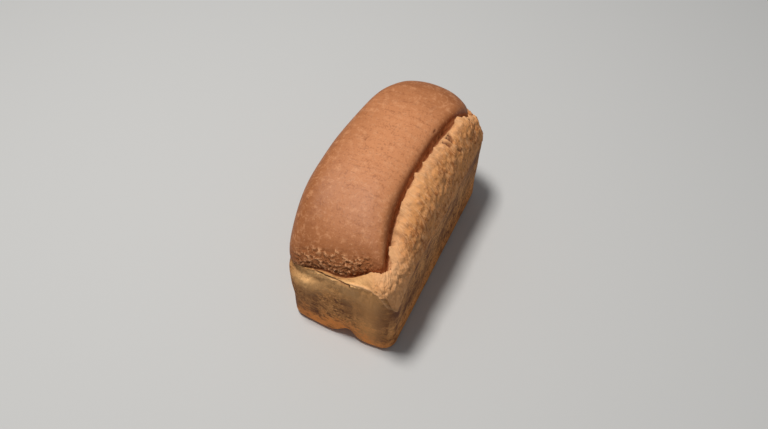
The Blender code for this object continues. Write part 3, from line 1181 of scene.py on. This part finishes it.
@dataclass(frozen=True)
class BakedCrust:
    """The loaf's finish: tan walls, golden torn crumb and a red-brown cap, with painted shade and painted
    highlights in its colour.
    """

    wall_tan: Colour = tone(170, 112, 60)
    wall_cream: Colour = tone(224, 158, 94)
    wall_brown: Colour = tone(106, 60, 30)
    base_brown: Colour = tone(240, 146, 70)
    crumb_gold: Colour = tone(220, 150, 90)
    crumb_brown: Colour = tone(158, 92, 46)
    crumb_cream: Colour = tone(242, 184, 132)
    cap_tan: Colour = tone(202, 132, 87)
    cap_red: Colour = tone(160, 98, 58)
    cap_dark: Colour = tone(128, 70, 38)
    ragged_pale: Colour = tone(232, 166, 116)
    ragged_dark: Colour = tone(164, 100, 58)
    # Painted shade for cracks, pits and the seam.
    crack_painted_shade: Colour = tone(92, 40, 18)
    # Painted shade for the groove between the bank and the cap.
    groove_painted_shade: Colour = tone(124, 68, 34)
    # Pale crust of the near end's ledge, brightened as a painted highlight.
    ledge_cream_highlight: Colour = tone(252, 192, 126)
    cap_pale: Colour = tone(222, 156, 110)
    gloss: float = 0.3
    cloud_size: float = 0.026
    grit_size: float = 0.0022
    streak_size: Point = (0.0060, 0.0060, 0.0450)
    speckle_size: Point = (0.0050, 0.0080, 0.0040)
    pore_gap: float = 0.0028
    toast_size: float = 0.0044
    crumb_patch: float = 0.020
    fibre_size: Point = (0.0014, 0.0060, 1.0)
    fibre_rise: float = 0.03
    cap_patch: float = 0.030
    blotch_size: float = 0.0060
    mottle_size: float = 0.0018
    wrinkle_size: Point = (0.0040, 0.020, 0.010)
    speck_gap: float = 0.0045
    flake_grit: float = 0.0014

    def material(self) -> bpy.types.Material:
        """Builds the material.

        Returns:
            The material.
        """
        paint = Paint("baked_crust")
        level, torn = paint.note("level"), paint.note("torn")
        ragged, depth = paint.note("ragged"), paint.note("depth")
        crack, pale, near = paint.note("crack"), paint.note("pale"), paint.note("near")
        parts = paint.node("ShaderNodeSeparateXYZ", None, {0: paint.place}).outputs
        length, side, height = (Reading(paint, parts[name]) for name in "XYZ")
        on_cap = paint.smooth(level, 2.75, 2.95)
        walls, wall_bump = self._walls(paint, level, near, side, height)
        crumb, crumb_bump = self._crumb(paint, level, depth, length)
        cap, cap_bump = self._cap(paint, length, side)
        flakes, flake_bump = self._ragged(paint, depth, side)
        # The near end's ledge: its pale crust, brightened as a painted highlight and carried down over the
        # wall's top towards the back side.
        low = 0.99 - paint.smooth(side, 0.008, 0.030) * 0.16
        ledge = paint.clamp((level - low) / 0.16) * near * (1.0 - torn)
        # Painted shade: the upper part of the near end's ledge, under the ragged edge, is darkened to wall
        # tan.
        shade_under_ragged = paint.smooth(level, 1.55, 1.95) * near * (1.0 - torn)
        shut = paint.smooth(level, 1.2, 1.9) * (1.0 - torn) * (1.0 - near)
        # Painted shade: the groove, and the cap's lip beside it, are darkened where shade falls.
        groove = paint.smooth(level, 2.25, 2.6) * paint.smooth(level, 3.04, 2.7)
        colour = paint.layers(
            walls,
            (crumb, torn),
            (self.ledge_cream_highlight, ledge),
            (self.wall_tan, shade_under_ragged * 0.7),
            (self.cap_red, shut),
            (cap, on_cap),
            (flakes, ragged),
            (self.groove_painted_shade, groove),
            # Painted shade in cracks, pits and the seam.
            (self.crack_painted_shade, crack),
            # Painted highlight along the crease's ridge.
            (self.crumb_cream, pale * 0.7),
        )
        bump = wall_bump * (1.0 - torn) * (1.0 - on_cap) + crumb_bump * torn
        bump = bump + cap_bump * on_cap * (1.0 - ragged) + flake_bump * ragged
        made = paint.node("ShaderNodeBump", None, {"Height": bump, "Distance": 1.0, "Strength": 1.0})
        rough = 0.80 - on_cap * (1.0 - ragged) * 0.26
        paint.feed(paint.shader.inputs["Base Color"], colour)
        paint.feed(paint.shader.inputs["Roughness"], rough)
        paint.feed(paint.shader.inputs["Normal"], made.outputs["Normal"])
        paint.feed(paint.shader.inputs["Specular IOR Level"], self.gloss)
        return paint.material

    def _walls(
        self, paint: Paint, level: Reading, near: Reading, side: Reading, height: Reading
    ) -> tuple[bpy.types.NodeSocket, Reading]:
        """The tin's part: tan with brown clouds, pale streaks and fine pores, more orange at the foot. On
        the near end, painted shade darkens the wall towards the back side and a painted highlight lightens
        its top.

        Args:
            paint: The material's painter.
            level: Where a point stands on the section.
            near: How much of the near end is at a point.
            side: Place across the loaf.
            height: Height over the base.

        Returns:
            The colour and the fine relief.
        """
        clouds = paint.grain(self.cloud_size, 4.0, 0.6)
        fine = paint.grain(self.grit_size, 4.0, 0.7)
        streaks = paint.grain(self.streak_size, 3.0, 0.6)
        speckle = paint.grain(self.speckle_size, 5.0, 0.75)
        uneven = clouds + speckle - 1.0
        # Painted shade: the near end's wall is darker towards the back side, which turns away from the
        # light.
        left = paint.smooth(side, 0.010, 0.050) * near
        # Painted highlight: the near end's wall is lighter towards its top, where light falls on its lean.
        top = paint.smooth(level + uneven * 0.4, 0.60, 0.95) * near
        right = paint.smooth(side, -0.010, -0.040) * near
        foot = paint.smooth(height + uneven * 0.06, 0.034, 0.004) * (0.35 + near * 0.55)
        colour = paint.layers(
            self.wall_tan,
            (self.wall_cream, paint.smooth(fine, 0.42, 0.62)),
            (self.wall_brown, paint.smooth(speckle, 0.49, 0.60) * 0.9),
            (self.wall_cream, paint.smooth(streaks, 0.52, 0.68) * 0.6),
            (self.wall_brown, paint.smooth(clouds + fine * 0.3, 0.58, 0.86)),
            (self.wall_brown, left * 0.75),
            (self.ledge_cream_highlight, top * 0.55),
            (self.wall_cream, right * 0.7),
            (self.base_brown, foot),
        )
        pores = paint.smooth(paint.cells(self.pore_gap), 0.28, 0.10)
        return colour, fine * 0.0004 - pores * 0.0003

    def _crumb(
        self, paint: Paint, level: Reading, depth: Reading, length: Reading
    ) -> tuple[bpy.types.NodeSocket, Reading]:
        """The torn bank: golden, fibrous, with toasted bits, and cream along its crest.

        Args:
            paint: The material's painter.
            level: Where a point stands on the section.
            depth: How far the relief stands out.
            length: Place along the loaf.

        Returns:
            The colour and the fine relief.
        """
        sockets = {0: paint.note("run"), 1: level * self.fibre_rise}
        vector = paint.node("ShaderNodeCombineXYZ", None, sockets).outputs[0]
        fibre = paint.grain(self.fibre_size, 3.0, 0.6, vector)
        toast = paint.grain(self.toast_size, 5.0, 0.75)
        clouds = paint.grain(self.crumb_patch, 2.0, 0.5)
        brown = paint.smooth(toast + depth * 0.12 + (clouds - 0.5) * 0.4, 0.42, 0.64)
        close = paint.smooth(length, -0.060, -0.100)
        crest = paint.smooth(level + close * 0.2 + (toast - 0.5) * 0.6, 1.68, 2.02)
        colour = paint.layers(
            self.crumb_gold,
            (self.crumb_brown, brown * paint.smooth(length, -0.115, -0.060) * 0.85),
            (self.crumb_cream, paint.smooth(fibre, 0.48, 0.66) * 0.55),
            (self.crumb_cream, close * 0.3),
            (self.crumb_cream, crest * 0.5),
        )
        return colour, fibre * 0.0007 + toast * 0.0012

    def _cap(self, paint: Paint, length: Reading, side: Reading) -> tuple[bpy.types.NodeSocket, Reading]:
        """The cap: paler over its crown, darker at its lip, where painted shade adds to the darker crust,
        with fine mottling and wrinkles.

        Args:
            paint: The material's painter.
            length: Place along the loaf.
            side: Place across the loaf.

        Returns:
            The colour and the fine relief.
        """
        out = paint.note("out")
        uneven = paint.grain(self.cap_patch, 3.0, 0.5) - 0.5
        blotch = paint.grain(self.blotch_size, 3.0, 0.6)
        fine = paint.grain(self.mottle_size, 3.0, 0.6)
        wrinkle = paint.grain(self.wrinkle_size, 3.0, 0.55)
        left = paint.smooth(side + uneven * 0.02, 0.012, 0.062)
        far = paint.smooth(length + uneven * 0.04, 0.030, 0.110)
        close = paint.smooth(length + uneven * 0.03, 0.0, -0.110)
        red = left * 0.80 + far * 0.95 + close * 0.52 + paint.smooth(out, 0.72, 0.98) * 0.5
        specks = paint.smooth(paint.cells(self.speck_gap), 0.14, 0.06)
        colour = paint.layers(
            self.cap_tan,
            (self.cap_red, paint.clamp(red)),
            # Darker crust at the lip, with painted shade of the roll down into the groove.
            (self.cap_dark, paint.smooth(out + uneven * 0.06, 0.90, 1.0) * 0.8),
            (self.cap_pale, paint.smooth(blotch + (fine - 0.5) * 0.9, 0.48, 0.72) * 0.5),
            (self.cap_dark, paint.smooth(fine + wrinkle * 0.5, 0.72, 0.96) * 0.45),
            (self.crumb_cream, specks * 0.25),
        )
        return colour, fine * 0.00025 + blotch * 0.0003 + wrinkle * 0.0003

    def _ragged(self, paint: Paint, depth: Reading, side: Reading) -> tuple[bpy.types.NodeSocket, Reading]:
        """The ragged edge: pale flakes over gaps that are darkened partly as painted shade, darker towards
        the torn side.

        Args:
            paint: The material's painter.
            depth: How far the relief stands out.
            side: Place across the loaf.

        Returns:
            The colour and the fine relief.
        """
        fine = paint.grain(self.flake_grit, 4.0, 0.65)
        dark = paint.smooth(side, -0.010, -0.036)
        # Low places between flakes are darker, partly as painted shade.
        share = paint.smooth(depth + (fine - 0.5) * 1.8 - dark, -0.6, 0.8)
        return paint.blend(self.ragged_dark, self.ragged_pale, share), fine * 0.0014


@dataclass(frozen=True)
class Studio:
    """A pale floor, soft lights and the camera."""

    floor_size: float = 8.0
    floor_tone: Colour = tone(200, 198, 194)
    sky_tone: Colour = tone(226, 232, 240)
    sky_strength: float = 0.22
    key_power: float = 30.0
    key_size: float = 0.35
    key_distance: float = 1.9
    key_from: Point = (-0.05, 0.20, 1.0)
    camera_place: Point = (-0.400642, -0.181075, 0.623266)
    focal_pixels: float = 714.468
    image_width: int = 768
    sensor_width: float = 36.0
    yaw: float = 0.434073
    pitch: float = 0.920880
    roll: float = 0.011563

    def floor(self) -> bpy.types.Object:
        """Makes the floor.

        Returns:
            The floor.
        """
        mesh = bmesh.new()
        bmesh.ops.create_grid(mesh, x_segments=1, y_segments=1, size=self.floor_size / 2.0)
        data = bpy.data.meshes.new("floor")
        mesh.to_mesh(data)
        mesh.free()
        paint = Paint("pale_floor")
        paint.feed(paint.shader.inputs["Base Color"], self.floor_tone)
        paint.feed(paint.shader.inputs["Roughness"], 0.9)
        data.materials.append(paint.material)
        floor = bpy.data.objects.new("floor", data)
        bpy.context.scene.collection.objects.link(floor)
        return floor

    def lights(self) -> None:
        """Makes the soft key light and the even light of the room."""
        lamp = bpy.data.lights.new("key", "AREA")
        lamp.energy, lamp.size = self.key_power, self.key_size
        key = bpy.data.objects.new("key", lamp)
        towards = Vector(self.key_from).normalized()
        key.location = towards * self.key_distance
        key.rotation_euler = towards.to_track_quat("Z", "Y").to_euler()
        bpy.context.scene.collection.objects.link(key)
        world = bpy.data.worlds.new("room")
        world.use_nodes = True
        sky = world.node_tree.nodes["Background"]
        sky.inputs["Color"].default_value = self.sky_tone
        sky.inputs["Strength"].default_value = self.sky_strength
        bpy.context.scene.world = world
        bpy.context.scene.view_settings.view_transform = "Standard"

    def camera(self) -> bpy.types.Object:
        """Makes the camera, which looks down along the loaf from its near end.

        Returns:
            The camera.
        """
        flat = Vector((math.cos(self.yaw), math.sin(self.yaw), 0.0))
        look = flat * math.cos(self.pitch) - Vector((0.0, 0.0, math.sin(self.pitch)))
        right = Vector((math.sin(self.yaw), -math.cos(self.yaw), 0.0))
        up = right.cross(look)
        turned = right * math.cos(self.roll) + up * math.sin(self.roll)
        upright = up * math.cos(self.roll) - right * math.sin(self.roll)
        lens = bpy.data.cameras.new("camera")
        lens.sensor_width = self.sensor_width
        lens.lens = self.focal_pixels * self.sensor_width / self.image_width
        camera = bpy.data.objects.new("camera", lens)
        axes = Matrix((turned, upright, -look)).transposed().to_4x4()
        camera.matrix_world = Matrix.Translation(Vector(self.camera_place)) @ axes
        bpy.context.scene.collection.objects.link(camera)
        bpy.context.scene.camera = camera
        return camera


def main() -> None:
    """Builds the loaf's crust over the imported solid, and the studio round it."""
    logging.basicConfig(level=logging.INFO, format="%(name)s: %(message)s")
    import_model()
    crust = Loaf(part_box("loaf")).build()
    crust.data.materials.append(BakedCrust().material())
    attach(crust, "root")
    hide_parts("loaf")
    LOG.info("crust: %d faces", len(crust.data.polygons))
    studio = Studio()
    studio.floor()
    studio.lights()
    studio.camera()
    LOG.info("studio: floor, lights and camera")


if __name__ == "__main__":
    main()
